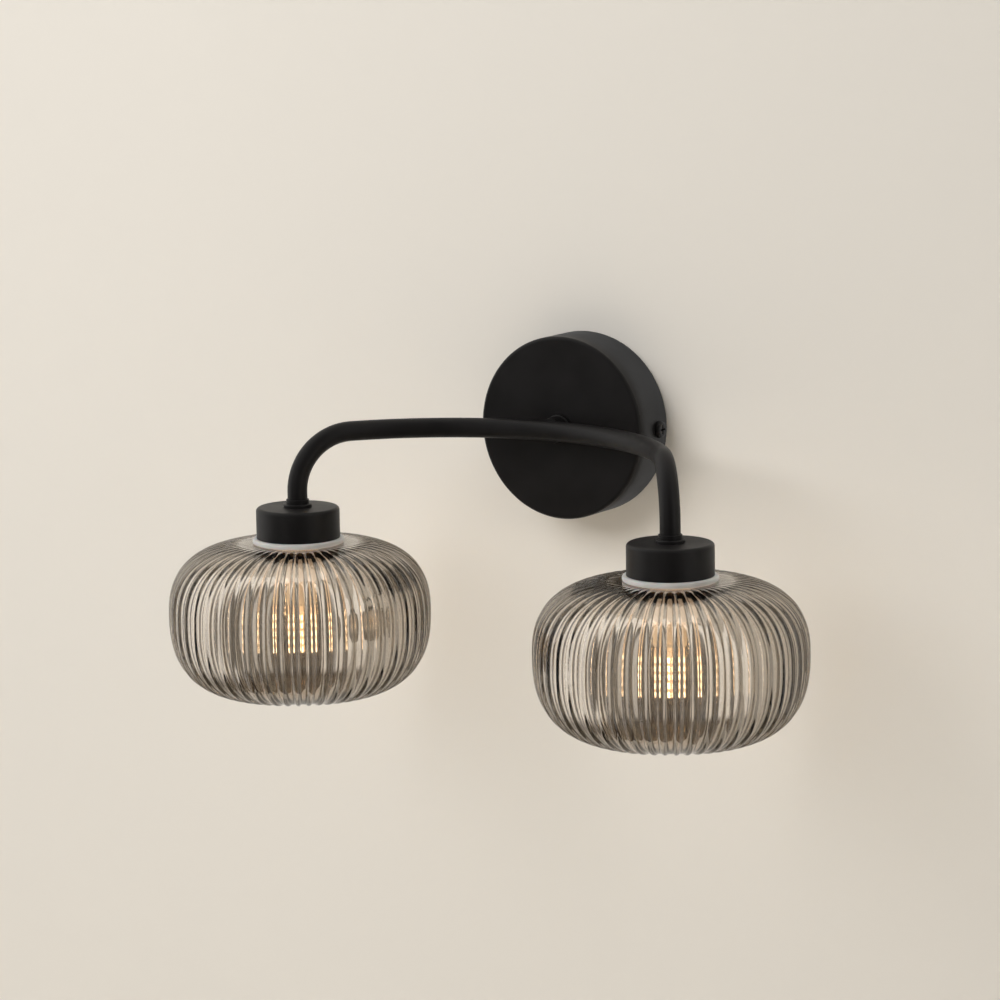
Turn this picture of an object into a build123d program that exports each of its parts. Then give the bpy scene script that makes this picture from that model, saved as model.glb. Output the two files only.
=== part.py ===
from build123d import *
import os
from math import asin, cos, pi, radians, sin, sqrt

# A wall light with two arms in one bent tube, each end carrying a cup, a ribbed glass globe and a
# pin-base lamp. All sizes are millimetres. X runs along the wall to the viewer's right, Y runs into
# the wall and Z is up. The origin is the centre of the canopy's back, on the wall's surface.

# ---- driving sizes ----

# Canopy: the round dish that covers the wall box
canopy_diameter = 100.0
canopy_depth = 29.0
canopy_wall = 1.2
canopy_edge_radius = 2.0
wall_gasket_thickness = 1.0
wall_gasket_width = 1.6
wall_gasket_edge = 0.3  # how far the gasket lies inside the canopy's rim

# Bracket screwed to the wall, which the canopy slides over
bracket_thickness = 1.5
bracket_width = 25.0
bracket_clearance = 0.5  # radially, to the inside of the wall gasket
tab_width = 14.0
tab_reach = 14.0
tab_thickness = 2.0
slot_spacing = 60.0
slot_length = 12.0
slot_width = 5.0
cable_hole_diameter = 16.0
lug_width = 20.0
lug_height = 33.0

# Side screws through the canopy's rim
side_screw_diameter = 4.0
side_screw_length = 7.0
side_screw_head_diameter = 9.2
side_screw_head_height = 2.4
side_screw_from_wall = 9.0
screw_hole_clearance = 0.3  # radially, where a screw only passes through
thread_clearance = 0.05  # radially, where a screw or nipple is in its thread
cross_recess_width = 1.0
cross_recess_share = 0.55  # of the head's diameter
head_rounding_share = 0.6  # of the head's height

# Terminal block and earth point
terminal_length = 30.0
terminal_depth = 14.0
terminal_height = 16.0
terminal_bottom = 15.0
terminal_pitch = 10.0
terminal_poles = 3
contact_diameter = 5.8
contact_bore = 4.0
contact_inset = 1.0
contact_clearance = 0.1
terminal_screw_diameter = 3.2
terminal_screw_spacing = 7.0
terminal_screw_recess = 0.4
terminal_screw_slot = 0.8
earth_screw_x = -17.5
earth_screw_diameter = 4.0
earth_head_diameter = 7.0
earth_head_height = 2.2
earth_screw_tip_gap = 0.3  # between its tip and the wall
earth_boss_diameter = 7.5
earth_boss_height = 1.5
earth_washer_diameter = 8.0
earth_washer_thickness = 0.8
earth_tongue_thickness = 0.8
earth_barrel_diameter = 3.4
earth_barrel_length = 6.0
earth_lead_diameter = 2.0
earth_lead_offset = 1.0  # off its terminal's middle, which the other conductors share
earth_lead_straight = 1.2  # out of the barrel and into the terminal

# Stem: nipple, nut, washer, collar and hub that carry the arm
nipple_diameter = 10.0
nipple_bore = 7.0
nipple_tail = 8.0  # how far it stands back from the canopy's inside
nut_sides = 6
nut_wall = 2.0  # from the nipple to a flat
nut_height = 4.0
star_washer_width = 2.5  # from the nipple to its rim
star_washer_thickness = 1.0
star_washer_teeth = 8
star_tooth_width = 1.6
star_tooth_depth = 1.5
collar_width = 2.75  # from the nipple to its rim
collar_thickness = 2.5
collar_edge_radius = 0.8
hub_wall = 2.0  # from the nipple to its outside

# Arm: one tube, an arc in plan with both ends bent down
arm_diameter = 10.8
arm_wall = 1.2
arm_from_wall = 40.5
arm_half_angle_degrees = 53.25
arm_bend_radius = 31.0
arm_drop = 8.2
lamp_spacing = 231.0
arm_hole_diameter = 7.6

# Collar on each end of the arm
end_collar_diameter = 15.5
end_collar_thickness = 1.8
end_sleeve_diameter = 12.4
end_sleeve_height = 2.4
end_collar_edge = 0.7

# Cup that takes the globe's neck
cup_diameter = 45.3
cup_height = 16.7
cup_top_thickness = 2.0
cup_edge_radius = 2.0
cup_wall = 2.9  # round the neck
cup_thread_depth = 9.0
cup_step = 2.45  # narrower above the neck, on each side

# Nipple and lock nut inside each cup
holder_nipple_diameter = 8.2
holder_nipple_bore = 5.6
holder_nipple_above = 7.0
holder_nipple_below = 9.6
lock_nut_across_flats = 12.0
lock_nut_height = 3.2

# Ceramic holder for the pin-base lamp
holder_gap = 0.3
holder_neck_diameter = 16.0
holder_neck_height = 9.0
holder_diameter = 24.0
holder_height = 24.0
holder_edge_radius = 1.2
holder_lead_bore = 4.0
holder_lead_depth = 17.0
pin_spacing = 9.0
pin_slot_width = 2.6
pin_slot_length = 4.0
pin_slot_depth = 9.0
contact_plate_thickness = 0.4
contact_plate_width = 3.0
contact_plate_height = 7.5

# Pin-base lamp: base, pins, board, light chips and clear cover
lamp_gap = 0.3  # between the holder's face and the lamp's base
pin_length = 8.0
pin_wire = 0.8
pin_loop_width = 2.6
base_length = 15.2
base_width = 9.6
base_height = 12.2
base_edge_radius = 1.5
base_flange_diameter = 16.0
base_flange_height = 1.6
board_across_flats = 9.6
board_height = 27.4
board_sides = 6
chip_rows = 5
chip_pitch = 4.65
chip_first_row = 7.2  # from the cover's foot to the middle of the first row
chip_width = 2.8
chip_length = 3.5
chip_thickness = 0.7
cover_diameter = 16.0
cover_wall = 0.9
cover_height = 32.4
cover_nose_radius = 5.0

# Globe of ribbed glass and its gasket
globe_diameter = 142.5
globe_wall = 2.8
globe_upper_height = 39.1
globe_lower_height = 43.3
globe_foot_radius = 31.0
globe_upper_roundness = 2.56
globe_lower_roundness = 2.37
neck_height = 8.0
neck_clearance = 0.3  # radially, in the cup
gasket_overhang = 2.15  # beyond the cup, on each side
gasket_thickness = 3.0
gasket_edge_radius = 1.2
shoulder_margin = 0.4  # flat glass beyond the gasket

# Leads from the terminal block to each lampholder
lead_diameter = 2.8
lead_offset = 1.8  # each side of the stem's axis
lead_terminal_offset = 5.0
lead_bend_radius = 5.0
lead_turn_radius = 4.6
lead_drop = 9.0

outline_steps = 10

# ---- places worked out from the driving sizes ----

canopy_radius = canopy_diameter / 2
canopy_inner_radius = canopy_radius - canopy_wall
canopy_back_y = -wall_gasket_thickness
canopy_face_y = canopy_back_y - canopy_depth
canopy_inside_y = canopy_face_y + canopy_wall
gasket_ring_outer = canopy_radius - wall_gasket_edge
gasket_ring_inner = gasket_ring_outer - wall_gasket_width
bracket_reach = gasket_ring_inner - bracket_clearance
tab_outer_x = sqrt(bracket_reach**2 - (tab_width / 2) ** 2)
bracket_front_y = -bracket_thickness
contact_y = bracket_front_y - terminal_depth / 2
terminal_front_y = bracket_front_y - terminal_depth
earth_boss_y = bracket_front_y - earth_boss_height

nut_across_flats = nipple_diameter + 2 * nut_wall
star_washer_diameter = nipple_diameter + 2 * star_washer_width
collar_diameter = nipple_diameter + 2 * collar_width
hub_diameter = nipple_diameter + 2 * hub_wall
collar_front_y = canopy_face_y - collar_thickness
nipple_back_y = canopy_inside_y + nipple_tail
arm_radius = arm_diameter / 2
arm_y = -arm_from_wall
arm_back_y = arm_y + arm_radius

half_spacing = lamp_spacing / 2
arm_half_angle = radians(arm_half_angle_degrees)
arm_plan_radius = (half_spacing - arm_bend_radius * cos(arm_half_angle)) / sin(arm_half_angle)
lamp_y = -(
    arm_from_wall
    + arm_plan_radius * (1 - cos(arm_half_angle))
    + arm_bend_radius * sin(arm_half_angle)
)
cup_top_z = -(arm_bend_radius + arm_drop)
cup_ceiling_z = cup_top_z - cup_top_thickness
cup_bottom_z = cup_top_z - cup_height
lock_nut_bottom_z = cup_ceiling_z - lock_nut_height
holder_top_z = lock_nut_bottom_z - holder_gap
holder_body_top_z = holder_top_z - holder_neck_height
holder_face_z = holder_body_top_z - holder_height
lamp_top_z = holder_face_z - lamp_gap
cover_foot_z = lamp_top_z - base_height - base_flange_height
shoulder_z = cup_bottom_z - gasket_thickness
neck_top_z = cup_bottom_z + neck_height
neck_radius = cup_diameter / 2 - cup_wall - neck_clearance
gasket_diameter = cup_diameter + 2 * gasket_overhang
cup_inner_diameter = 2 * (neck_radius - cup_step)
neck_bore_radius = neck_radius - globe_wall
shoulder_radius = gasket_diameter / 2 + shoulder_margin
globe_radius = globe_diameter / 2
equator_z = shoulder_z - globe_upper_height
globe_bottom_z = equator_z - globe_lower_height

SIDES = (("left", -1), ("right", 1))


# ---- helpers ----


def rod_x(radius, x_from, x_to, y=0.0, z=0.0):
    return Pos((x_from + x_to) / 2, y, z) * Rot(0, 90, 0) * Cylinder(radius, abs(x_to - x_from))


def rod_y(radius, y_from, y_to, x=0.0, z=0.0):
    return Pos(x, (y_from + y_to) / 2, z) * Rot(90, 0, 0) * Cylinder(radius, abs(y_to - y_from))


def rod_z(radius, z_from, z_to, x=0.0, y=0.0):
    return Pos(x, y, (z_from + z_to) / 2) * Cylinder(radius, abs(z_to - z_from))


def block(x_from, x_to, y_from, y_to, z_from, z_to):
    middle = Pos((x_from + x_to) / 2, (y_from + y_to) / 2, (z_from + z_to) / 2)
    return middle * Box(abs(x_to - x_from), abs(y_to - y_from), abs(z_to - z_from))


def prism_y(sides, across_flats, y_from, y_to):
    face = Plane.XZ.offset(-y_from) * RegularPolygon(across_flats / 2, sides, major_radius=False)
    return extrude(face, y_from - y_to)


def prism_z(sides, across_flats, z_from, z_to):
    face = Plane.XY.offset(z_from) * RegularPolygon(across_flats / 2, sides, major_radius=False)
    return extrude(face, z_to - z_from)


def rounded_edge(solid, radius, axis, last):
    """Rounds the outermost ring of edges at one end of a turned piece."""
    rings = solid.edges().filter_by(GeomType.CIRCLE).group_by(axis)[-1 if last else 0]
    return fillet(rings.sort_by(SortBy.RADIUS)[-1], radius)


def write(name, *solids):
    shape = solids[0] if len(solids) == 1 else Compound(children=list(solids))
    shape.label = name
    export_step(shape, f"parts/{name}.step")


# ---- the arm's centre line, which the tube and the leads share ----


def plan_point(angle, side=1):
    across = side * arm_plan_radius * sin(angle)
    return Vector(across, arm_y - arm_plan_radius * (1 - cos(angle)), 0)


def bend_point(angle, side=1):
    start = plan_point(arm_half_angle, side)
    along = Vector(side * cos(arm_half_angle), -sin(arm_half_angle), 0)
    return start + along * (arm_bend_radius * sin(angle)) - Vector(0, 0, arm_bend_radius * (1 - cos(angle)))


def end_edges(side, foot_z):
    """The bend and the straight drop at one end, walked outwards."""
    bend = ThreePointArc(bend_point(0, side), bend_point(pi / 4, side), bend_point(pi / 2, side))
    drop = Line(bend_point(pi / 2, side), Vector(side * half_spacing, lamp_y, foot_z))
    return [bend, drop]


def arm_path():
    left_bend = ThreePointArc(bend_point(pi / 2, -1), bend_point(pi / 4, -1), bend_point(0, -1))
    left_drop = Line(Vector(-half_spacing, lamp_y, cup_top_z), bend_point(pi / 2, -1))
    bow = ThreePointArc(plan_point(arm_half_angle, -1), plan_point(0), plan_point(arm_half_angle, 1))
    return Wire([left_drop, left_bend, bow] + end_edges(1, cup_top_z))


def swept_arm(radius):
    path = arm_path()
    section = Plane(origin=path @ 0, z_dir=path % 0) * Circle(radius)
    return sweep(section, path=path)


# ---- canopy and what holds it to the wall ----


def canopy():
    drum = rod_y(canopy_radius, canopy_back_y, canopy_face_y)
    outer = rounded_edge(drum, canopy_edge_radius, Axis.Y, False)
    dish = outer - rod_y(canopy_inner_radius, canopy_back_y, canopy_inside_y)
    dish -= rod_y(nipple_diameter / 2 + screw_hole_clearance, canopy_inside_y, canopy_face_y)
    hole_radius = side_screw_diameter / 2 + screw_hole_clearance
    return dish - rod_x(hole_radius, -canopy_radius, canopy_radius, y=-side_screw_from_wall)


def wall_gasket():
    return rod_y(gasket_ring_outer, 0, canopy_back_y) - rod_y(gasket_ring_inner, 0, canopy_back_y)


def bracket_slot(x):
    middle = Pos(x, bracket_front_y / 2, 0) * Rot(90, 0, 0)
    return middle * extrude(SlotOverall(slot_length, slot_width), bracket_thickness, both=True)


def mounting_bracket():
    strap = block(-tab_outer_x, tab_outer_x, 0, bracket_front_y, -bracket_width / 2, bracket_width / 2)
    strap &= rod_y(bracket_reach, 0, bracket_front_y)
    lug = block(-lug_width / 2, lug_width / 2, 0, bracket_front_y, 0, lug_height)
    bracket = strap + lug
    tapped_radius = side_screw_diameter / 2 + thread_clearance
    for side in (-1, 1):
        outer_x = side * tab_outer_x
        inner_x = side * (tab_outer_x - tab_thickness)
        tab = block(inner_x, outer_x, 0, -tab_reach, -tab_width / 2, tab_width / 2)
        bracket += tab
        bracket -= rod_x(tapped_radius, inner_x - side, outer_x + side, y=-side_screw_from_wall)
        bracket -= bracket_slot(side * slot_spacing / 2)
    bracket += rod_y(earth_boss_diameter / 2, 0, earth_boss_y, x=earth_screw_x)
    bracket -= rod_y(earth_screw_diameter / 2 + thread_clearance, 0, earth_boss_y, x=earth_screw_x)
    return bracket - rod_y(cable_hole_diameter / 2, 0, bracket_front_y)


def cross_recess(diameter, depth):
    long_side = diameter * cross_recess_share
    arm = Box(long_side, cross_recess_width, 2 * depth)
    return arm + Rot(0, 0, 90) * arm


def pan_screw(shank_radius, length, head_diameter, head_height):
    """A pan head screw whose head's underside is at zero and whose head stands up."""
    head = rod_z(head_diameter / 2, 0, head_height)
    head = rounded_edge(head, head_height * head_rounding_share, Axis.Z, True)
    head -= Pos(0, 0, head_height) * cross_recess(head_diameter, head_height / 2)
    return head + rod_z(shank_radius, -length, 0)


def side_screws():
    shank = side_screw_diameter / 2
    screw = pan_screw(shank, side_screw_length, side_screw_head_diameter, side_screw_head_height)
    place = (canopy_radius, -side_screw_from_wall, 0)
    right = Pos(*place) * Rot(0, 90, 0) * screw
    return [right, mirror(right, about=Plane.YZ)]


# ---- terminal block and earth ----


def pole_positions():
    middle = (terminal_poles - 1) / 2
    return [(pole - middle) * terminal_pitch for pole in range(terminal_poles)]


def terminal_screw_levels():
    middle = terminal_bottom + terminal_height / 2
    return [middle - terminal_screw_spacing / 2, middle + terminal_screw_spacing / 2]


def terminal_block():
    body = block(
        -terminal_length / 2,
        terminal_length / 2,
        bracket_front_y,
        terminal_front_y,
        terminal_bottom,
        terminal_bottom + terminal_height,
    )
    top = terminal_bottom + terminal_height
    for x in pole_positions():
        body -= rod_z(contact_diameter / 2 + contact_clearance, terminal_bottom, top, x, contact_y)
        for z in terminal_screw_levels():
            radius = terminal_screw_diameter / 2 + contact_clearance
            body -= rod_y(radius, contact_y, terminal_front_y, x, z)
    return body


def terminal_contacts():
    low = terminal_bottom + contact_inset
    high = terminal_bottom + terminal_height - contact_inset
    contacts = []
    for x in pole_positions():
        tube = rod_z(contact_diameter / 2, low, high, x, contact_y)
        contacts.append(tube - rod_z(contact_bore / 2, low, high, x, contact_y))
    return contacts


def terminal_screws():
    tip_y = contact_y - contact_diameter / 2
    head_y = terminal_front_y + terminal_screw_recess
    screws = []
    for x in pole_positions():
        for z in terminal_screw_levels():
            screw = rod_y(terminal_screw_diameter / 2, tip_y, head_y, x, z)
            groove = Box(terminal_screw_diameter, 2 * terminal_screw_slot, terminal_screw_slot)
            slot = Pos(x, head_y, z) * groove
            screws.append(screw - slot)
    return screws


def earth_levels():
    washer_y = earth_boss_y - earth_washer_thickness
    tongue_y = washer_y - earth_tongue_thickness
    return washer_y, tongue_y


def earth_washer():
    washer_y = earth_levels()[0]
    hole = rod_y(earth_screw_diameter / 2 + thread_clearance, earth_boss_y, washer_y, x=earth_screw_x)
    return rod_y(earth_washer_diameter / 2, earth_boss_y, washer_y, x=earth_screw_x) - hole


def earth_tongue():
    """The ring and crimped barrel on the earth lead's end."""
    washer_y, tongue_y = earth_levels()
    ring = rod_y(earth_washer_diameter / 2, washer_y, tongue_y, x=earth_screw_x)
    barrel_y = washer_y - earth_barrel_diameter / 2
    barrel_top = earth_head_diameter / 2 + screw_hole_clearance + earth_barrel_length
    barrel = rod_z(earth_barrel_diameter / 2, earth_barrel_length / 2, barrel_top, earth_screw_x, barrel_y)
    neck = block(
        earth_screw_x - earth_barrel_diameter / 2,
        earth_screw_x + earth_barrel_diameter / 2,
        washer_y,
        tongue_y,
        0,
        barrel_top,
    )
    bore = rod_z(earth_lead_diameter / 2 + thread_clearance, 0, barrel_top, earth_screw_x, barrel_y)
    head_room = rod_y(earth_head_diameter / 2 + screw_hole_clearance, tongue_y, -tab_reach, x=earth_screw_x)
    hole = rod_y(earth_screw_diameter / 2 + thread_clearance, washer_y, tongue_y, x=earth_screw_x)
    return (ring + neck + barrel) - bore - head_room - hole


def earth_screw():
    tongue_y = earth_levels()[1]
    length = -tongue_y - earth_screw_tip_gap
    screw = pan_screw(earth_screw_diameter / 2, length, earth_head_diameter, earth_head_height)
    return Pos(earth_screw_x, tongue_y, 0) * Rot(90, 0, 0) * screw


def earth_lead():
    barrel_y = earth_levels()[0] - earth_barrel_diameter / 2
    barrel_top = earth_head_diameter / 2 + screw_hole_clearance + earth_barrel_length
    foot = Vector(earth_screw_x, barrel_y, barrel_top - earth_barrel_length / 2)
    pole_x = pole_positions()[0]
    top = Vector(pole_x - earth_lead_offset, contact_y, terminal_bottom + contact_inset)
    low_corner = foot + Vector(0, 0, earth_barrel_length / 2 + earth_lead_straight)
    high_corner = top - Vector(0, 0, contact_inset + earth_lead_straight)
    path = FilletPolyline(foot, low_corner, high_corner, top, radius=earth_lead_diameter)
    section = Plane(origin=foot, z_dir=(0, 0, 1)) * Circle(earth_lead_diameter / 2)
    return sweep(section, path=path)


# ---- stem ----


def canopy_nipple():
    tube = rod_y(nipple_diameter / 2, nipple_back_y, arm_back_y)
    return tube - rod_y(nipple_bore / 2, nipple_back_y, arm_back_y)


def canopy_washer():
    washer = rod_y(star_washer_diameter / 2, canopy_inside_y, canopy_inside_y + star_washer_thickness)
    washer -= rod_y(
        nipple_diameter / 2 + thread_clearance, canopy_inside_y, canopy_inside_y + star_washer_thickness
    )
    notch = Box(2 * star_tooth_depth, 3 * star_washer_thickness, star_tooth_width)
    tooth = Pos(star_washer_diameter / 2, canopy_inside_y, 0) * notch
    for turn in range(star_washer_teeth):
        washer -= Rot(0, turn * 360 / star_washer_teeth, 0) * tooth
    return washer


def canopy_nut():
    front = canopy_inside_y + star_washer_thickness
    nut = prism_y(nut_sides, nut_across_flats, front + nut_height, front)
    return nut - rod_y(nipple_diameter / 2 + thread_clearance, front, front + nut_height)


def canopy_collar():
    disc = rod_y(collar_diameter / 2, canopy_face_y, collar_front_y)
    ring = rounded_edge(disc, collar_edge_radius, Axis.Y, False)
    return ring - rod_y(nipple_diameter / 2 + thread_clearance, canopy_face_y, collar_front_y)


def stem_hub(arm_solid):
    hub = rod_y(hub_diameter / 2, collar_front_y, arm_y)
    hub -= rod_y(nipple_diameter / 2 + thread_clearance, collar_front_y, arm_back_y)
    hub -= rod_y(arm_hole_diameter / 2, collar_front_y, arm_y)
    return hub - arm_solid


# ---- arm ----


def arm_tube(arm_solid):
    tube = arm_solid - swept_arm(arm_radius - arm_wall)
    return tube - rod_y(arm_hole_diameter / 2, arm_y, arm_back_y)


def arm_end_collar(x):
    flange = rod_z(end_collar_diameter / 2, cup_top_z, cup_top_z + end_collar_thickness, x, lamp_y)
    flange = rounded_edge(flange, end_collar_edge, Axis.Z, True)
    sleeve_top = cup_top_z + end_collar_thickness + end_sleeve_height
    sleeve = rod_z(end_sleeve_diameter / 2, cup_top_z, sleeve_top, x, lamp_y)
    collar = flange + rounded_edge(sleeve, end_collar_edge / 2, Axis.Z, True)
    return collar - rod_z(arm_radius + thread_clearance, cup_top_z, sleeve_top, x, lamp_y)


# ---- one lamp: cup, nipple, lock nut, holder ----


def cup(x):
    body = rod_z(cup_diameter / 2, cup_bottom_z, cup_top_z, x, lamp_y)
    body = rounded_edge(body, cup_edge_radius, Axis.Z, True)
    body -= rod_z(cup_inner_diameter / 2, cup_bottom_z, cup_ceiling_z, x, lamp_y)
    body -= rod_z(neck_radius + neck_clearance, cup_bottom_z, cup_bottom_z + cup_thread_depth, x, lamp_y)
    return body - rod_z(holder_nipple_diameter / 2 + thread_clearance, cup_ceiling_z, cup_top_z, x, lamp_y)


def holder_nipple(x):
    high = cup_top_z + holder_nipple_above
    low = cup_top_z - holder_nipple_below
    tube = rod_z(holder_nipple_diameter / 2, low, high, x, lamp_y)
    return tube - rod_z(holder_nipple_bore / 2, low, high, x, lamp_y)


def lock_nut(x):
    nut = Pos(x, lamp_y, 0) * prism_z(nut_sides, lock_nut_across_flats, lock_nut_bottom_z, cup_ceiling_z)
    bore = holder_nipple_diameter / 2 + thread_clearance
    return nut - rod_z(bore, lock_nut_bottom_z, cup_ceiling_z, x, lamp_y)


def pin_slot_x(x, pin):
    return x + pin * pin_spacing / 2


def lampholder(x):
    neck = rod_z(holder_neck_diameter / 2, holder_body_top_z, holder_top_z, x, lamp_y)
    body = rod_z(holder_diameter / 2, holder_face_z, holder_body_top_z, x, lamp_y)
    body = rounded_edge(body, holder_edge_radius, Axis.Z, True)
    body = rounded_edge(body, holder_edge_radius, Axis.Z, False)
    holder = neck + body
    socket_top = cup_top_z - holder_nipple_below - screw_hole_clearance
    holder -= rod_z(holder_nipple_diameter / 2 + thread_clearance, socket_top, holder_top_z, x, lamp_y)
    holder -= rod_z(holder_lead_bore / 2, holder_top_z - holder_lead_depth, holder_top_z, x, lamp_y)
    for pin in (-1, 1):
        middle = pin_slot_x(x, pin)
        holder -= block(
            middle - pin_slot_width / 2,
            middle + pin_slot_width / 2,
            lamp_y - pin_slot_length / 2,
            lamp_y + pin_slot_length / 2,
            holder_face_z,
            holder_face_z + pin_slot_depth,
        )
    return holder


def holder_contacts(x):
    plates = []
    top = holder_face_z + pin_slot_depth
    for pin in (-1, 1):
        outer = pin_slot_x(x, pin) + pin * pin_slot_width / 2
        plates.append(
            block(
                outer - pin * contact_plate_thickness,
                outer,
                lamp_y - contact_plate_width / 2,
                lamp_y + contact_plate_width / 2,
                top - contact_plate_height,
                top,
            )
        )
    return plates


# ---- the pin-base lamp ----


def lamp_base(x):
    low = lamp_top_z - base_height
    body = block(
        x - base_length / 2,
        x + base_length / 2,
        lamp_y - base_width / 2,
        lamp_y + base_width / 2,
        low,
        lamp_top_z,
    )
    body = fillet(body.edges().filter_by(Axis.Z), base_edge_radius)
    return body + rod_z(base_flange_diameter / 2, cover_foot_z, low, x, lamp_y)


def pin_outline(length, width):
    """A slot shape standing upright in the lamp's middle plane, centred on the base's top."""
    return Plane.YZ * SlotOverall(2 * length, width, rotation=90)


def lamp_pins(x):
    """Two hairpin loops of wire that stand up from the base."""
    outer = extrude(pin_outline(pin_length, pin_loop_width), pin_wire / 2, both=True)
    inner = extrude(pin_outline(pin_length - pin_wire, pin_loop_width - 2 * pin_wire), pin_wire, both=True)
    upper = block(-pin_wire, pin_wire, -pin_loop_width, pin_loop_width, 0, pin_length)
    loop = (outer - inner) & upper
    return [Pos(pin_slot_x(x, pin), lamp_y, lamp_top_z) * loop for pin in (-1, 1)]


def lamp_board(x):
    low = cover_foot_z - board_height
    return Pos(x, lamp_y, 0) * prism_z(board_sides, board_across_flats, low, cover_foot_z)


def lamp_chips(x):
    chips = []
    for row in range(chip_rows):
        level = cover_foot_z - chip_first_row - row * chip_pitch
        for turn in range(board_sides):
            out = board_across_flats / 2 + chip_thickness / 2
            chip = Pos(out, 0, level) * Box(chip_thickness, chip_width, chip_length)
            flat_angle = (turn + 0.5) * 360 / board_sides
            chips.append(Pos(x, lamp_y, 0) * Rot(0, 0, flat_angle) * chip)
    return chips


def lamp_cover(x):
    low = cover_foot_z - cover_height
    outer = rod_z(cover_diameter / 2, low, cover_foot_z, x, lamp_y)
    outer = rounded_edge(outer, cover_nose_radius, Axis.Z, False)
    inner = rod_z(cover_diameter / 2 - cover_wall, low + cover_wall, cover_foot_z, x, lamp_y)
    inner = rounded_edge(inner, cover_nose_radius - cover_wall, Axis.Z, False)
    return outer - inner


# ---- globe and gasket ----


def quarter(foot_radius, full_radius, height, roundness, start_angle, end_angle):
    """Points of a quarter of a superellipse, as (radius, height above the equator)."""
    points = []
    for step in range(outline_steps + 1):
        angle = start_angle + (end_angle - start_angle) * step / outline_steps
        out = abs(cos(angle)) ** (2 / roundness)
        up = abs(sin(angle)) ** (2 / roundness)
        points.append((foot_radius + (full_radius - foot_radius) * out, equator_z + height * up))
    return points


def globe_wall_curves(inset):
    """The upper and lower curve of the globe's wall, set in from the outer surface."""
    full = globe_radius - inset
    upper = quarter(shoulder_radius, full, globe_upper_height - inset, globe_upper_roundness, pi / 2, 0)
    lower = quarter(globe_foot_radius, full, inset - globe_lower_height, globe_lower_roundness, 0, pi / 2)
    return (
        Spline(*upper, tangents=[(1, 0), (0, -1)]),
        Spline(*lower, tangents=[(0, -1), (-1, 0)]),
    )


def globe_shade(x):
    outer_upper, outer_lower = globe_wall_curves(0)
    inner_upper, inner_lower = globe_wall_curves(globe_wall)
    inner_bottom_z = globe_bottom_z + globe_wall
    inner_shoulder_z = shoulder_z - globe_wall
    rim = Polyline(
        (shoulder_radius, inner_shoulder_z),
        (neck_bore_radius, inner_shoulder_z),
        (neck_bore_radius, neck_top_z),
        (neck_radius, neck_top_z),
        (neck_radius, shoulder_z),
        (shoulder_radius, shoulder_z),
    )
    foot = Polyline(
        (globe_foot_radius, globe_bottom_z),
        (0, globe_bottom_z),
        (0, inner_bottom_z),
        (globe_foot_radius, inner_bottom_z),
    )
    outline = Plane.XZ * (rim + outer_upper + outer_lower + foot + inner_lower + inner_upper)
    return Pos(x, lamp_y, 0) * revolve(make_face(outline.edges()), Axis.Z)


def globe_gasket(x):
    ring = rod_z(gasket_diameter / 2, shoulder_z, cup_bottom_z, x, lamp_y)
    ring = rounded_edge(ring, gasket_edge_radius, Axis.Z, True)
    ring = rounded_edge(ring, gasket_edge_radius, Axis.Z, False)
    return ring - rod_z(neck_radius + neck_clearance, shoulder_z, cup_bottom_z, x, lamp_y)


# ---- leads ----


def lead(side):
    """One sleeved lead: from the terminal block, through the stem, along the arm, into the holder."""
    stem_x = side * lead_offset
    turn_x = stem_x + side * lead_turn_radius
    reach = arm_plan_radius + lead_turn_radius
    turn_y = arm_y - arm_plan_radius + sqrt(reach**2 - turn_x**2)
    entry_angle = asin(abs(turn_x) / reach)
    top = Vector(side * lead_terminal_offset, contact_y, terminal_bottom)
    bend_z = terminal_bottom - lead_drop
    corner = Vector(side * lead_terminal_offset, contact_y, bend_z)
    mouth = Vector(stem_x, nipple_back_y + lead_bend_radius, 0)
    run = FilletPolyline(top, corner, mouth, Vector(stem_x, turn_y, 0), radius=lead_bend_radius)
    turn_middle = (pi / 2 - entry_angle) / 2
    turn = ThreePointArc(
        Vector(stem_x, turn_y, 0),
        Vector(
            turn_x - side * lead_turn_radius * cos(turn_middle),
            turn_y - lead_turn_radius * sin(turn_middle),
            0,
        ),
        plan_point(entry_angle, side),
    )
    middle_angle = (entry_angle + arm_half_angle) / 2
    bow = ThreePointArc(
        plan_point(entry_angle, side), plan_point(middle_angle, side), plan_point(arm_half_angle, side)
    )
    foot_z = holder_top_z - holder_lead_depth + screw_hole_clearance
    path = Wire(run.edges() + [turn, bow] + end_edges(side, foot_z))
    section = Plane(origin=top, z_dir=(0, 0, -1)) * Circle(lead_diameter / 2)
    return sweep(section, path=path)


# ---- writing the pieces ----


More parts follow.
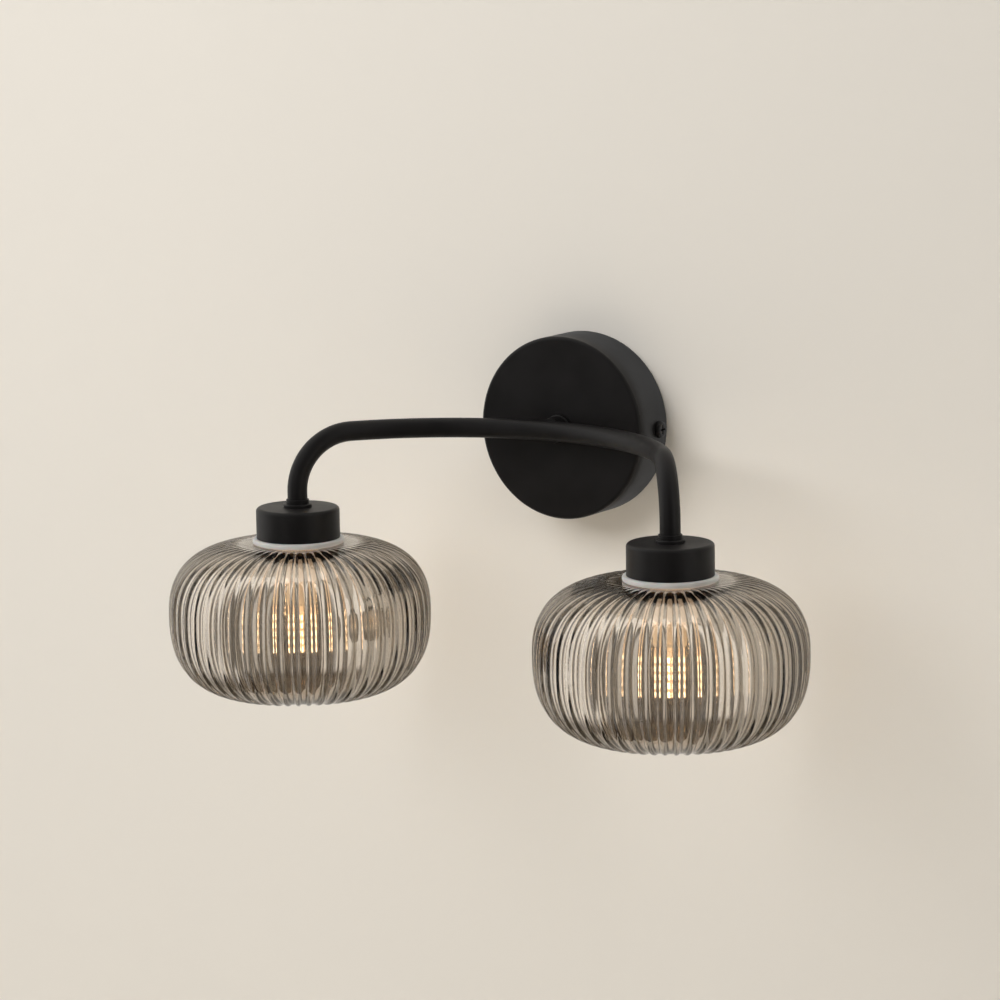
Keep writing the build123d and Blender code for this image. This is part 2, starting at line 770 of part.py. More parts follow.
def main():
    os.makedirs("parts", exist_ok=True)
    arm_solid = swept_arm(arm_radius)
    write("canopy", canopy())
    write("wall_gasket", wall_gasket())
    write("mounting_bracket", mounting_bracket())
    write("side_screws", *side_screws())
    write("terminal_block", terminal_block())
    write("terminal_contacts", *terminal_contacts())
    write("terminal_screws", *terminal_screws())
    write("earth_washer", earth_washer())
    write("earth_tongue", earth_tongue())
    write("earth_screw", earth_screw())
    write("earth_lead", earth_lead())
    write("canopy_nipple", canopy_nipple())
    write("canopy_washer", canopy_washer())
    write("canopy_nut", canopy_nut())
    write("canopy_collar", canopy_collar())
    write("stem_hub", stem_hub(arm_solid))
    write("arm_tube", arm_tube(arm_solid))
    for name, side in SIDES:
        x = side * half_spacing
        write(f"arm_collar_{name}", arm_end_collar(x))
        write(f"cup_{name}", cup(x))
        write(f"holder_nipple_{name}", holder_nipple(x))
        write(f"lock_nut_{name}", lock_nut(x))
        write(f"lampholder_{name}", lampholder(x))
        write(f"holder_contacts_{name}", *holder_contacts(x))
        write(f"lamp_base_{name}", lamp_base(x))
        write(f"lamp_pins_{name}", *lamp_pins(x))
        write(f"lamp_board_{name}", lamp_board(x))
        write(f"lamp_chips_{name}", *lamp_chips(x))
        write(f"lamp_cover_{name}", lamp_cover(x))
        write(f"globe_shade_{name}", globe_shade(x))
        write(f"globe_gasket_{name}", globe_gasket(x))
        write(f"lead_{name}", lead(side))


main()
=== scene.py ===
import math
import random
import bpy
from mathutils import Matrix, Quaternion, Vector


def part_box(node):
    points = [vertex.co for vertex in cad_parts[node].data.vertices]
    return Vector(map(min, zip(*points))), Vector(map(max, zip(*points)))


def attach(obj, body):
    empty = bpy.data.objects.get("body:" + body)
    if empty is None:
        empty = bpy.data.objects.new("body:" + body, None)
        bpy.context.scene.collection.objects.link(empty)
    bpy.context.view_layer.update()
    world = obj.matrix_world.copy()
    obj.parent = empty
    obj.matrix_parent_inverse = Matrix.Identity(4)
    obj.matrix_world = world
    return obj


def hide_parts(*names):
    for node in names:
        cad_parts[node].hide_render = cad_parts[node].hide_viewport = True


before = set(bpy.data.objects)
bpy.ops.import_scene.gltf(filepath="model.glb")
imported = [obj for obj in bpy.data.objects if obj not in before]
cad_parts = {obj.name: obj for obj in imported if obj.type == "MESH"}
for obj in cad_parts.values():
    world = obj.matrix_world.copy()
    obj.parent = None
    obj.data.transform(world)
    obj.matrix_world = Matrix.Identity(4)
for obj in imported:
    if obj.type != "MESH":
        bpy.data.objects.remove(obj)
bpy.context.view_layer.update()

print("frame loaded")

mm = 0.001
sides = ["left", "right"]
lampMiddle = {}
for side in sides:
    low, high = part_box("globe_shade_" + side)
    lampMiddle[side] = Vector(((low.x + high.x) / 2, (low.y + high.y) / 2, 0))


def clearSelection():
    if bpy.context.object and bpy.context.object.mode != "OBJECT":
        bpy.ops.object.mode_set(mode="OBJECT")
    bpy.ops.object.select_all(action="DESELECT")


def selectOnly(piece):
    clearSelection()
    piece.select_set(True)
    bpy.context.view_layer.objects.active = piece


def finishPiece(piece, name, body, nodes, smoothAngle):
    selectOnly(piece)
    bpy.ops.object.transform_apply(location=True, rotation=True, scale=True)
    bpy.ops.object.shade_smooth_by_angle(angle=math.radians(smoothAngle))
    piece.name = name
    piece.data.name = name
    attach(piece, body)
    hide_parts(*nodes)


# shader helpers

noiseSpan = (0.3, 0.7)  # noise outside this span is held at the first or second value


def startMaterial(name):
    material = bpy.data.materials.new(name)
    material.use_nodes = True
    tree = material.node_tree
    shader = tree.nodes["Principled BSDF"]
    place = tree.nodes.new("ShaderNodeTexCoord")
    return material, tree, shader, place


def addNoise(tree, place, scale, detail, stretch=(1, 1, 1)):
    mapping = tree.nodes.new("ShaderNodeMapping")
    mapping.inputs["Scale"].default_value = stretch
    noise = tree.nodes.new("ShaderNodeTexNoise")
    noise.inputs["Scale"].default_value = scale
    noise.inputs["Detail"].default_value = detail
    tree.links.new(place.outputs["Object"], mapping.inputs["Vector"])
    tree.links.new(mapping.outputs["Vector"], noise.inputs["Vector"])
    return noise.outputs["Fac"]


def addRange(tree, noise, first, second):
    spread = tree.nodes.new("ShaderNodeMapRange")
    spread.inputs["From Min"].default_value = noiseSpan[0]
    spread.inputs["From Max"].default_value = noiseSpan[1]
    spread.inputs["To Min"].default_value = first
    spread.inputs["To Max"].default_value = second
    tree.links.new(noise, spread.inputs["Value"])
    return spread.outputs["Result"]


def addColours(tree, noise, first, second):
    ramp = tree.nodes.new("ShaderNodeValToRGB")
    for element, position, colour in zip(ramp.color_ramp.elements, noiseSpan, (first, second)):
        element.position = position
        element.color = (*colour, 1)
    tree.links.new(noise, ramp.inputs["Fac"])
    return ramp.outputs["Color"]


def addBump(tree, shader, noise, distance):
    bump = tree.nodes.new("ShaderNodeBump")
    bump.inputs["Distance"].default_value = distance
    tree.links.new(noise, bump.inputs["Height"])
    tree.links.new(bump.outputs["Normal"], shader.inputs["Normal"])


def addMath(tree, operation, first, second):  # the second value is a number or another node's output
    node = tree.nodes.new("ShaderNodeMath")
    node.operation = operation
    tree.links.new(first, node.inputs[0])
    if isinstance(second, float):
        node.inputs[1].default_value = second
    else:
        tree.links.new(second, node.inputs[1])
    return node.outputs["Value"]


def mixShaders(tree, share, first, second):
    mix = tree.nodes.new("ShaderNodeMixShader")
    tree.links.new(share, mix.inputs["Fac"])
    tree.links.new(first, mix.inputs[1])
    tree.links.new(second, mix.inputs[2])
    return mix.outputs["Shader"]


def showSurface(tree, surface):
    tree.links.new(surface, tree.nodes["Material Output"].inputs["Surface"])


def straightRays(tree, paths):  # rays that come straight to the eye, or through clear glass to it
    return addMath(tree, "MAXIMUM", paths.outputs["Is Camera Ray"], paths.outputs["Is Transmission Ray"])


def setGlow(shader, colour, strength):
    shader.inputs["Emission Color"].default_value = (*colour, 1)
    shader.inputs["Emission Strength"].default_value = strength


# grained finishes: broad patches of colour and gloss over a fine grain

plainLook = {"stretch": (1, 1, 1), "metallic": 0.0, "specular": 0.5, "coat": 0.0, "coatRough": 0.08,
             "softness": 0.0, "softDepth": 2.0 * mm, "patchDetail": 3.0, "grainDetail": 2.0}
finishes = {
    "blackPaint": {"dark": (0.0070, 0.0064, 0.0064), "light": (0.0100, 0.0092, 0.0092),
                   "roughLow": 0.40, "roughHigh": 0.48, "patchScale": 60, "grainScale": 2600,
                   "grainDepth": 0.02 * mm, "specular": 0.18},
    "zincSteel": {"dark": (0.46, 0.46, 0.44), "light": (0.60, 0.59, 0.56), "roughLow": 0.30,
                  "roughHigh": 0.46, "patchScale": 180, "grainScale": 900, "grainDepth": 0.02 * mm,
                  "metallic": 1.0, "stretch": (1, 1, 6)},
    "brass": {"dark": (0.62, 0.42, 0.16), "light": (0.78, 0.58, 0.26), "roughLow": 0.22,
              "roughHigh": 0.38, "patchScale": 240, "grainScale": 1200, "grainDepth": 0.01 * mm,
              "metallic": 1.0},
    "ceramic": {"dark": (0.74, 0.71, 0.65), "light": (0.82, 0.80, 0.75), "roughLow": 0.18,
                "roughHigh": 0.28, "patchScale": 90, "grainScale": 700, "grainDepth": 0.02 * mm,
                "coat": 0.3},
    "lampBase": {"dark": (0.70, 0.62, 0.48), "light": (0.78, 0.70, 0.56), "roughLow": 0.42,
                 "roughHigh": 0.52, "patchScale": 120, "grainScale": 1500, "grainDepth": 0.01 * mm},
    "board": {"dark": (0.70, 0.68, 0.62), "light": (0.80, 0.78, 0.72), "roughLow": 0.35,
              "roughHigh": 0.45, "patchScale": 300, "grainScale": 1800, "grainDepth": 0.01 * mm},
    "silicone": {"dark": (0.50, 0.495, 0.48), "light": (0.57, 0.565, 0.55), "roughLow": 0.42,
                 "roughHigh": 0.55, "patchScale": 150, "grainScale": 1400, "grainDepth": 0.02 * mm,
                 "softness": 0.25},
    "wallSeal": {"dark": (0.020, 0.020, 0.020), "light": (0.032, 0.032, 0.032), "roughLow": 0.75,
                 "roughHigh": 0.9, "patchScale": 200, "grainScale": 1600, "grainDepth": 0.05 * mm},
    "terminalPlastic": {"dark": (0.68, 0.66, 0.60), "light": (0.76, 0.74, 0.68), "roughLow": 0.38,
                        "roughHigh": 0.5, "patchScale": 140, "grainScale": 1700,
                        "grainDepth": 0.02 * mm},
    "leadSleeve": {"dark": (0.60, 0.57, 0.52), "light": (0.68, 0.65, 0.60), "roughLow": 0.5,
                   "roughHigh": 0.62, "patchScale": 200, "grainScale": 1200, "grainDepth": 0.02 * mm},
    "earthSleeve": {"dark": (0.12, 0.30, 0.03), "light": (0.20, 0.38, 0.04), "roughLow": 0.5,
                    "roughHigh": 0.62, "patchScale": 260, "grainScale": 1300, "grainDepth": 0.02 * mm},
}


def grainedMaterial(name):
    look = {**plainLook, **finishes[name]}
    material, tree, shader, place = startMaterial(name)
    broad = addNoise(tree, place, look["patchScale"], look["patchDetail"])
    fine = addNoise(tree, place, look["grainScale"], look["grainDetail"], look["stretch"])
    colour = addColours(tree, broad, look["dark"], look["light"])
    rough = addRange(tree, broad, look["roughLow"], look["roughHigh"])
    tree.links.new(colour, shader.inputs["Base Color"])
    tree.links.new(rough, shader.inputs["Roughness"])
    shader.inputs["Metallic"].default_value = look["metallic"]
    shader.inputs["Specular IOR Level"].default_value = look["specular"]
    shader.inputs["Coat Weight"].default_value = look["coat"]
    shader.inputs["Coat Roughness"].default_value = look["coatRough"]
    shader.inputs["Subsurface Weight"].default_value = look["softness"]
    shader.inputs["Subsurface Scale"].default_value = look["softDepth"]
    addBump(tree, shader, fine, look["grainDepth"])
    return material


made = {name: grainedMaterial(name) for name in finishes}
print("grained finishes made")


# lit parts: the chips' phosphor is the lamp; the chip frames, board, lamp base and ceramic holder get painted
# glow, emission that stands in for the lamp's light falling on them

litLook = {
    "phosphor": {"dark": (0.85, 0.55, 0.16), "light": (0.95, 0.66, 0.24), "spotScale": 900, "detail": 1.0,
                 "rough": 0.4, "grainDepth": 0.02 * mm, "glow": (1.0, 0.80, 0.54), "strength": 45.0},
    # the frame's emission is painted light: the phosphor's light on the white frame, painted in as glow
    "chipFrame": {"dark": (0.80, 0.74, 0.62), "light": (0.88, 0.83, 0.72), "spotScale": 900, "detail": 2.0,
                  "rough": 0.45, "grainDepth": 0.01 * mm, "glow": (1.0, 0.50, 0.18), "strength": 3.2},
}
# painted light: emission on the board, lamp base and ceramic holder stands in for the lamp's light falling on
# them
paintedLampGlow = {"colour": (1.0, 0.60, 0.30), "strength": {"board": 2.2, "lampBase": 1.0, "ceramic": 0.58}}


def litMaterial(name):
    look = litLook[name]
    material, tree, shader, place = startMaterial(name)
    spots = addNoise(tree, place, look["spotScale"], look["detail"])
    tree.links.new(addColours(tree, spots, look["dark"], look["light"]), shader.inputs["Base Color"])
    shader.inputs["Roughness"].default_value = look["rough"]
    setGlow(shader, look["glow"], look["strength"])
    addBump(tree, shader, spots, look["grainDepth"])
    return material


for name in litLook:
    made[name] = litMaterial(name)
# paint the lamp's light onto the nearby finishes as emission
for finish, strength in paintedLampGlow["strength"].items():
    setGlow(made[finish].node_tree.nodes["Principled BSDF"], paintedLampGlow["colour"], strength)


# glass: clear on the globe's outside, smoked and part mirror on its inside, and the lamp's clear cover

outerLook = {"colour": (1, 1, 1), "rough": 0.0, "ior": 1.50, "waveScale": 55, "waveDetail": 1.0,
             "waveStretch": (1, 1, 0.4), "waveDepth": 0.10 * mm, "tint": (0.992, 0.991, 0.989)}
innerLook = {"colour": (0.50, 0.45, 0.385), "rough": 0.0, "ior": 1.50, "mirrorShare": 0.48,
             "shareSpread": 0.15, "mirror": (0.78, 0.70, 0.60), "mirrorRough": 0.015,
             "patchScale": 40, "patchDetail": 2.0, "mottleScale": 800, "mottleDetail": 2.0,
             "mottleStretch": (1, 1, 0.6), "mottleDepth": 0.012 * mm, "tint": (0.992, 0.991, 0.989)}
coverLook = {"colour": (0.97, 0.97, 0.96), "rough": 0.0, "ior": 1.45, "rippleScale": 200,
             "rippleDetail": 2.0, "rippleDepth": 0.01 * mm, "tint": (0.95, 0.95, 0.94)}


def startGlass(name, look):
    material, tree, shader, place = startMaterial(name)
    shader.inputs["Base Color"].default_value = (*look["colour"], 1)
    shader.inputs["Transmission Weight"].default_value = 1.0
    shader.inputs["Roughness"].default_value = look["rough"]
    shader.inputs["IOR"].default_value = look["ior"]
    return material, tree, shader, place


def passSoftLight(tree, surface, tint):  # shadow and diffuse rays go through, with only this tint
    paths = tree.nodes.new("ShaderNodeLightPath")
    clear = tree.nodes.new("ShaderNodeBsdfTransparent")
    clear.inputs["Color"].default_value = (*tint, 1)
    soft = addMath(tree, "MAXIMUM", paths.outputs["Is Shadow Ray"], paths.outputs["Is Diffuse Ray"])
    showSurface(tree, mixShaders(tree, soft, surface, clear.outputs["BSDF"]))


def outerGlass():
    look = outerLook
    material, tree, shader, place = startGlass("outerGlass", look)
    waves = addNoise(tree, place, look["waveScale"], look["waveDetail"], look["waveStretch"])
    addBump(tree, shader, waves, look["waveDepth"])
    passSoftLight(tree, shader.outputs["BSDF"], look["tint"])
    return material


def innerGlass():
    look = innerLook
    material, tree, shader, place = startGlass("innerGlass", look)
    mottle = addNoise(tree, place, look["mottleScale"], look["mottleDetail"], look["mottleStretch"])
    addBump(tree, shader, mottle, look["mottleDepth"])
    coat = tree.nodes.new("ShaderNodeBsdfPrincipled")
    coat.inputs["Base Color"].default_value = (*look["mirror"], 1)
    coat.inputs["Metallic"].default_value = 1.0
    coat.inputs["Roughness"].default_value = look["mirrorRough"]
    addBump(tree, coat, mottle, look["mottleDepth"])
    patches = addNoise(tree, place, look["patchScale"], look["patchDetail"])
    least = look["mirrorShare"] * (1 - look["shareSpread"])
    most = look["mirrorShare"] * (1 + look["shareSpread"])
    share = addRange(tree, patches, least, most)
    mixed = mixShaders(tree, share, shader.outputs["BSDF"], coat.outputs["BSDF"])
    passSoftLight(tree, mixed, look["tint"])
    return material


def clearCover():
    look = coverLook
    material, tree, shader, place = startGlass("clearCover", look)
    ripples = addNoise(tree, place, look["rippleScale"], look["rippleDetail"])
    addBump(tree, shader, ripples, look["rippleDepth"])
    passSoftLight(tree, shader.outputs["BSDF"], look["tint"])
    return material


made["outerGlass"] = outerGlass()
made["innerGlass"] = innerGlass()
made["clearCover"] = clearCover()
print("glass and light made")


# turned pieces: an outline is drawn point by point, then spun round the Z axis

mergeWithin = 0.002 * mm


def startOutline(name, first):
    clearSelection()
    bpy.ops.mesh.primitive_plane_add(size=mm, location=(first[0], 0, first[1]))
    piece = bpy.context.object
    bpy.ops.object.transform_apply(location=True)
    piece.name = name
    bpy.ops.object.mode_set(mode="EDIT")
    bpy.ops.mesh.select_mode(type="VERT")
    bpy.ops.mesh.select_all(action="SELECT")
    bpy.ops.mesh.merge(type="CENTER")
    return piece


def spinOutline(name, stations, corners):
    piece = startOutline(name, stations[0])
    for here, there in zip(stations, stations[1:]):
        step = (there[0] - here[0], 0, there[1] - here[1])
        bpy.ops.mesh.extrude_vertices_move(TRANSFORM_OT_translate={"value": step})
    bpy.ops.mesh.select_all(action="SELECT")
    bpy.ops.mesh.spin(steps=corners, angle=2 * math.pi, center=(0, 0, 0), axis=(0, 0, 1))
    bpy.ops.mesh.select_all(action="SELECT")
    bpy.ops.mesh.remove_doubles(threshold=mergeWithin)
    bpy.ops.mesh.normals_make_consistent(inside=False)
    bpy.ops.object.mode_set(mode="OBJECT")
    return piece


# ribbed globes: nearly flat panels between narrow rounded ridges, and a nearly smooth inside

globeShape = {
    "neckRadius": 19.45 * mm, "neckBore": 16.65 * mm, "neckTall": 11.0 * mm, "neckStep": 0.5 * mm,
    "shoulderRadius": 25.2 * mm, "footRadius": 31.0 * mm, "upperTall": 39.1 * mm, "lowerTall": 43.3 * mm,
    "upperRound": 2.56, "lowerRound": 2.37, "upperSteps": 18, "lowerSteps": 20,
    "footRings": [26 * mm, 20 * mm, 14 * mm, 8 * mm, 3 * mm, 0],
    "wall": 2.8 * mm, "cornerDrop": 0.7, "cornerOut": 0.3, "smoothAngle": 180,
    "ridges": 50, "ridgeSteps": 16, "ridgeShare": 0.42, "ridgeTall": 0.155, "ridgeColumns": 0.70,
    "panelHollow": 0.015, "insideShare": 0.05, "footFade": 12.0 * mm,
    "plainPole": 0.5 * mm, "plainTop": 0.2 * mm, "wanderTall": 11.0 * mm, "wander": 0.008,
    "unevenTall": 0.12, "unevenPlace": 0.03, "seed": 7,
}


def superellipse(foot, full, middle, tall, roundness, steps, fromTop):
    stations = []
    for step in range(steps + 1):
        turn = math.pi / 2 * (1 - step / steps if fromTop else step / steps)
        out = abs(math.cos(turn)) ** (2 / roundness)
        up = abs(math.sin(turn)) ** (2 / roundness)
        stations.append((foot + (full - foot) * out, middle + tall * up))
    return stations


def globeStations(shoulder, full, inset):
    shape = globeShape
    middle = shoulder - shape["upperTall"]
    upper = superellipse(shape["shoulderRadius"], full - inset, middle, shape["upperTall"] - inset,
                         shape["upperRound"], shape["upperSteps"], True)
    lower = superellipse(shape["footRadius"], full - inset, middle, inset - shape["lowerTall"],
                         shape["lowerRound"], shape["lowerSteps"], False)
    foot = [(radius, lower[-1][1]) for radius in shape["footRings"]]
    return upper + lower[1:] + foot


def gatheredColumn(column):  # most of the columns between two valleys lie on the ridge
    shape = globeShape
    if column < shape["ridgeColumns"]:
        return column * shape["ridgeShare"] / shape["ridgeColumns"]
    return 1 - (1 - column) * (1 - shape["ridgeShare"]) / (1 - shape["ridgeColumns"])


def pressRidges(globe, middle, shoulder, side):
    shape = globeShape
    draw = random.Random(shape["seed"] + sides.index(side))
    talls = [1 + draw.uniform(-1, 1) * shape["unevenTall"] for _ in range(shape["ridges"])]
    places = [draw.uniform(-1, 1) * shape["unevenPlace"] for _ in range(shape["ridges"])]
    phases = [draw.uniform(0, 2 * math.pi) for _ in range(shape["ridges"])]
    moves = []
    for vertex in globe.data.vertices:
        radius = math.hypot(vertex.co.x, vertex.co.y)
        if radius < shape["plainPole"] or vertex.co.z > shoulder - shape["plainTop"]:
            continue
        turn = (math.atan2(vertex.co.y, vertex.co.x) / (2 * math.pi) + 0.5) * shape["ridges"]
        ridge = int(turn + 0.5) % shape["ridges"]
        sway = math.sin((vertex.co.z - middle.z) / shape["wanderTall"] + phases[ridge])
        uneven = places[ridge] + shape["wander"] * sway
        column = 2 * (turn - int(turn + 0.5))
        across = gatheredColumn(abs(column))
        shift = math.copysign(across, column) - column + 2 * uneven * (1 - across)
        spread = Quaternion((0, 0, 1), math.pi * shift / shape["ridges"])
        rise = math.sqrt(1 - min(1, across / shape["ridgeShare"]) ** 2)
        pitch = 2 * math.pi * radius / shape["ridges"]
        tall = pitch * shape["ridgeTall"] * talls[ridge] * min(1, radius / shape["footFade"]) ** 2
        hollow = pitch * shape["panelHollow"] * across ** 2
        if vertex.normal.dot(vertex.co - middle) > 0:
            moves.append((vertex, -vertex.normal * (tall * (1 - rise) + hollow), spread))
        else:
            moves.append((vertex, vertex.normal * tall * shape["insideShare"] * (1 - rise), spread))
    for vertex, move, spread in moves:
        vertex.co = spread @ (vertex.co + move)


def ribbedGlobe(side):
    shape = globeShape
    low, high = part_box("globe_shade_" + side)
    top, full = high.z, (high.x - low.x) / 2
    shoulder = top - shape["neckTall"]
    neck, bore, wall, step = shape["neckRadius"], shape["neckBore"], shape["wall"], shape["neckStep"]
    inside = [(bore, top), (bore, shoulder - wall * shape["cornerDrop"]),
              (bore + wall * shape["cornerOut"], shoulder - wall)]
    inside += globeStations(shoulder, full, wall)
    outside = [(neck, top), (neck, shoulder + step), (neck + step, shoulder)]
    outside += globeStations(shoulder, full, 0)
    globe = spinOutline("globe", inside[::-1] + outside, shape["ridges"] * shape["ridgeSteps"])
    middle = Vector((0, 0, shoulder - shape["upperTall"]))
    pressRidges(globe, middle, shoulder, side)
    globe.data.materials.append(made["outerGlass"])
    globe.data.materials.append(made["innerGlass"])
    for face in globe.data.polygons:
        face.material_index = 0 if face.normal.dot(face.center - middle) > 0 else 1
    globe.location = lampMiddle[side]
    finishPiece(globe, "ribbedGlobe_" + side, "shade_" + side, ["globe_shade_" + side],
                shape["smoothAngle"])


for side in sides:
    ribbedGlobe(side)
print("globes pressed")


# gaskets under the cups

gasketShape = {"bore": 19.75 * mm, "edge": 1.2 * mm, "corners": 128, "edgeSteps": 6, "smoothAngle": 35}


def siliconeGasket(side):
    shape = gasketShape
    low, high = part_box("globe_gasket_" + side)
    outer, edge = (high.x - low.x) / 2, shape["edge"]
    stations = [(shape["bore"], high.z)]
    for step in range(shape["edgeSteps"] + 1):
        turn = math.pi / 2 * step / shape["edgeSteps"]
        stations.append((outer - edge * (1 - math.sin(turn)), high.z - edge * (1 - math.cos(turn))))
    for step in range(shape["edgeSteps"] + 1):
        turn = math.pi / 2 * step / shape["edgeSteps"]
        stations.append((outer - edge * (1 - math.cos(turn)), low.z + edge * (1 - math.sin(turn))))
    stations += [(shape["bore"], low.z), (shape["bore"], high.z)]
    gasket = spinOutline("gasket", stations, shape["corners"])
    gasket.data.materials.append(made["silicone"])
    gasket.location = lampMiddle[side]
    finishPiece(gasket, "siliconeGasket_" + side, "seal_" + side, ["globe_gasket_" + side],
                shape["smoothAngle"])


for side in sides:
    siliconeGasket(side)
print("gaskets turned")


# light chips: one is modelled and copied to each place on the six-sided board

chipShape = {"thick": 0.7 * mm, "wide": 2.8 * mm, "tall": 3.5 * mm, "rim": 0.34 * mm, "well": 0.16 * mm,
             "bevel": 0.10 * mm, "bevelSteps": 2, "rows": 5, "pitch": 4.65 * mm, "flats": 6,
             "smoothAngle": 20}


def firstChip(out, level):
    shape = chipShape
    clearSelection()
    bpy.ops.mesh.primitive_cube_add(size=1, location=(out, 0, level),
                                    scale=(shape["thick"], shape["wide"], shape["tall"]))
    chip = bpy.context.object
    bpy.ops.object.transform_apply(location=True, rotation=True, scale=True)
    bpy.ops.object.mode_set(mode="EDIT")
    bpy.ops.mesh.select_all(action="SELECT")
    bpy.ops.mesh.bevel(offset=shape["bevel"], segments=shape["bevelSteps"])
    bpy.ops.mesh.select_all(action="DESELECT")
    bpy.ops.object.mode_set(mode="OBJECT")
    front = max(chip.data.polygons, key=lambda face: face.center.x)
    front.select = True
    bpy.ops.object.mode_set(mode="EDIT")
    bpy.ops.mesh.select_mode(type="FACE")
    bpy.ops.mesh.inset(thickness=shape["rim"] - shape["bevel"])
    bpy.ops.mesh.extrude_region_move(TRANSFORM_OT_translate={"value": (-shape["well"], 0, 0)})
    bpy.ops.mesh.normals_make_consistent(inside=False)
    bpy.ops.object.mode_set(mode="OBJECT")
    chip.data.materials.append(made["chipFrame"])
    chip.data.materials.append(made["phosphor"])
    for face in chip.data.polygons:  # only the floor of the well is still selected
        face.material_index = 1 if face.select else 0
    return chip


def lightChips(side):
    shape = chipShape
    low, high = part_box("lamp_chips_" + side)
    out = (high.y - low.y) / 2 - shape["thick"] / 2
    level = high.z - shape["tall"] / 2
    chip = firstChip(out, level)
    chips = [chip]
    for row in range(shape["rows"]):
        for flat in range(shape["flats"]):
            if row == 0 and flat == 0:
                continue
            selectOnly(chip)
            bpy.ops.object.duplicate()
            copy = bpy.context.object
            copy.location.z = -row * shape["pitch"]
            copy.rotation_euler.z = 2 * math.pi * flat / shape["flats"]
            chips.append(copy)
    clearSelection()
    for copy in chips:
        copy.rotation_euler.z += math.pi / shape["flats"]
        copy.select_set(True)
    bpy.context.view_layer.objects.active = chip
    bpy.ops.object.transform_apply(location=True, rotation=True, scale=True)
    bpy.ops.object.join()
    chip.location = lampMiddle[side]
    finishPiece(chip, "lightChips_" + side, "bulb_" + side, ["lamp_chips_" + side],
                shape["smoothAngle"])


for side in sides:
    lightChips(side)
print("light chips placed")


# the CAD nodes that stay, each with its finish

nodeFinish = {
    "blackPaint": ["canopy", "canopy_collar", "stem_hub", "arm_tube", "arm_collar_left", "arm_collar_right",
                   "cup_left", "cup_right", "side_screws"],
    "zincSteel": ["mounting_bracket", "canopy_nut", "canopy_washer", "canopy_nipple", "holder_nipple_left",
                  "holder_nipple_right", "lock_nut_left", "lock_nut_right", "terminal_screws",
                  "lamp_pins_left", "lamp_pins_right"],
    "brass": ["terminal_contacts", "holder_contacts_left", "holder_contacts_right", "earth_screw",
              "earth_washer", "earth_tongue"],
    "ceramic": ["lampholder_left", "lampholder_right"],
    "lampBase": ["lamp_base_left", "lamp_base_right"],
    "board": ["lamp_board_left", "lamp_board_right"],
    "clearCover": ["lamp_cover_left", "lamp_cover_right"],
    "wallSeal": ["wall_gasket"],
    "terminalPlastic": ["terminal_block"],
    "leadSleeve": ["lead_left", "lead_right"],
    "earthSleeve": ["earth_lead"],
}
for finish, nodes in nodeFinish.items():
    for node in nodes:
        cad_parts[node].data.materials.clear()
        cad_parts[node].data.materials.append(made[finish])
print("nodes finished")


# wall and floor

stageLook = {"colour": (0.83, 0.79, 0.725), "patchShade": 0.985, "patchScale": 3.0, "patchDetail": 3.0,
             "rough": 0.9, "specular": 0.1, "wallSize": 3.0, "wallGap": 0.3 * mm, "openWithin": 28.0 * mm,
             "floorSize": 12.0, "floorDrop": 0.60, "floorGlow": (0.80, 0.76, 0.695), "floorShare": 0.86}


def paleSurface(name):
    look = stageLook
    material, tree, shader, place = startMaterial(name)
    broad = addNoise(tree, place, look["patchScale"], look["patchDetail"])
    shaded = [part * look["patchShade"] for part in look["colour"]]
    tree.links.new(addColours(tree, broad, shaded, look["colour"]), shader.inputs["Base Color"])
    shader.inputs["Roughness"].default_value = look["rough"]
    shader.inputs["Specular IOR Level"].default_value = look["specular"]
    paths = tree.nodes.new("ShaderNodeLightPath")
    clear = tree.nodes.new("ShaderNodeBsdfTransparent")
    return material, tree, shader.outputs["BSDF"], paths, clear.outputs["BSDF"]


def wallPaint():  # the wall isn't there from behind, for shadow rays or for rays shorter than openWithin
    material, tree, surface, paths, clear = paleSurface("wallPaint")
    facing = tree.nodes.new("ShaderNodeNewGeometry")
    close = addMath(tree, "LESS_THAN", paths.outputs["Ray Length"], stageLook["openWithin"])
    unlit = addMath(tree, "MAXIMUM", close, paths.outputs["Is Shadow Ray"])
    either = addMath(tree, "MAXIMUM", facing.outputs["Backfacing"], unlit)
    showSurface(tree, mixShaders(tree, either, surface, clear))
    return material


def floorPaint():  # the floor is mostly plain pale to the eye and through glass, and isn't there for gloss
    material, tree, surface, paths, clear = paleSurface("floorPaint")
    pale = tree.nodes.new("ShaderNodeEmission")
    pale.inputs["Color"].default_value = (*stageLook["floorGlow"], 1)
    share = addMath(tree, "MULTIPLY", straightRays(tree, paths), stageLook["floorShare"])
    seen = mixShaders(tree, share, surface, pale.outputs["Emission"])
    showSurface(tree, mixShaders(tree, paths.outputs["Glossy Depth"], seen, clear))
    return material


def addStage():
    look = stageLook
    clearSelection()
    bpy.ops.mesh.primitive_plane_add(size=look["wallSize"], location=(0, look["wallGap"], 0),
                                     rotation=(math.pi / 2, 0, 0))
    wall = bpy.context.object
    wall.name = "backWall"
    wall.data.materials.append(wallPaint())
    bpy.ops.mesh.primitive_plane_add(size=look["floorSize"], location=(0, 0, -look["floorDrop"]))
    floor = bpy.context.object
    floor.name = "paleFloor"
    floor.data.materials.append(floorPaint())


# lamps: a key panel in front of the wall and one behind it for the back

lampAim = Vector((0, -60 * mm, -50 * mm))
lampSet = [
    {"name": "keyPanel", "place": (-0.75, -1.6, 1.15), "size": 1.4, "power": 29.5, "colour": (1.0, 1.0, 1.0)},
    {"name": "backPanel", "place": (0.3, 1.8, 1.2), "size": 1.6, "power": 24.0, "colour": (1.0, 0.99, 0.97)},
]


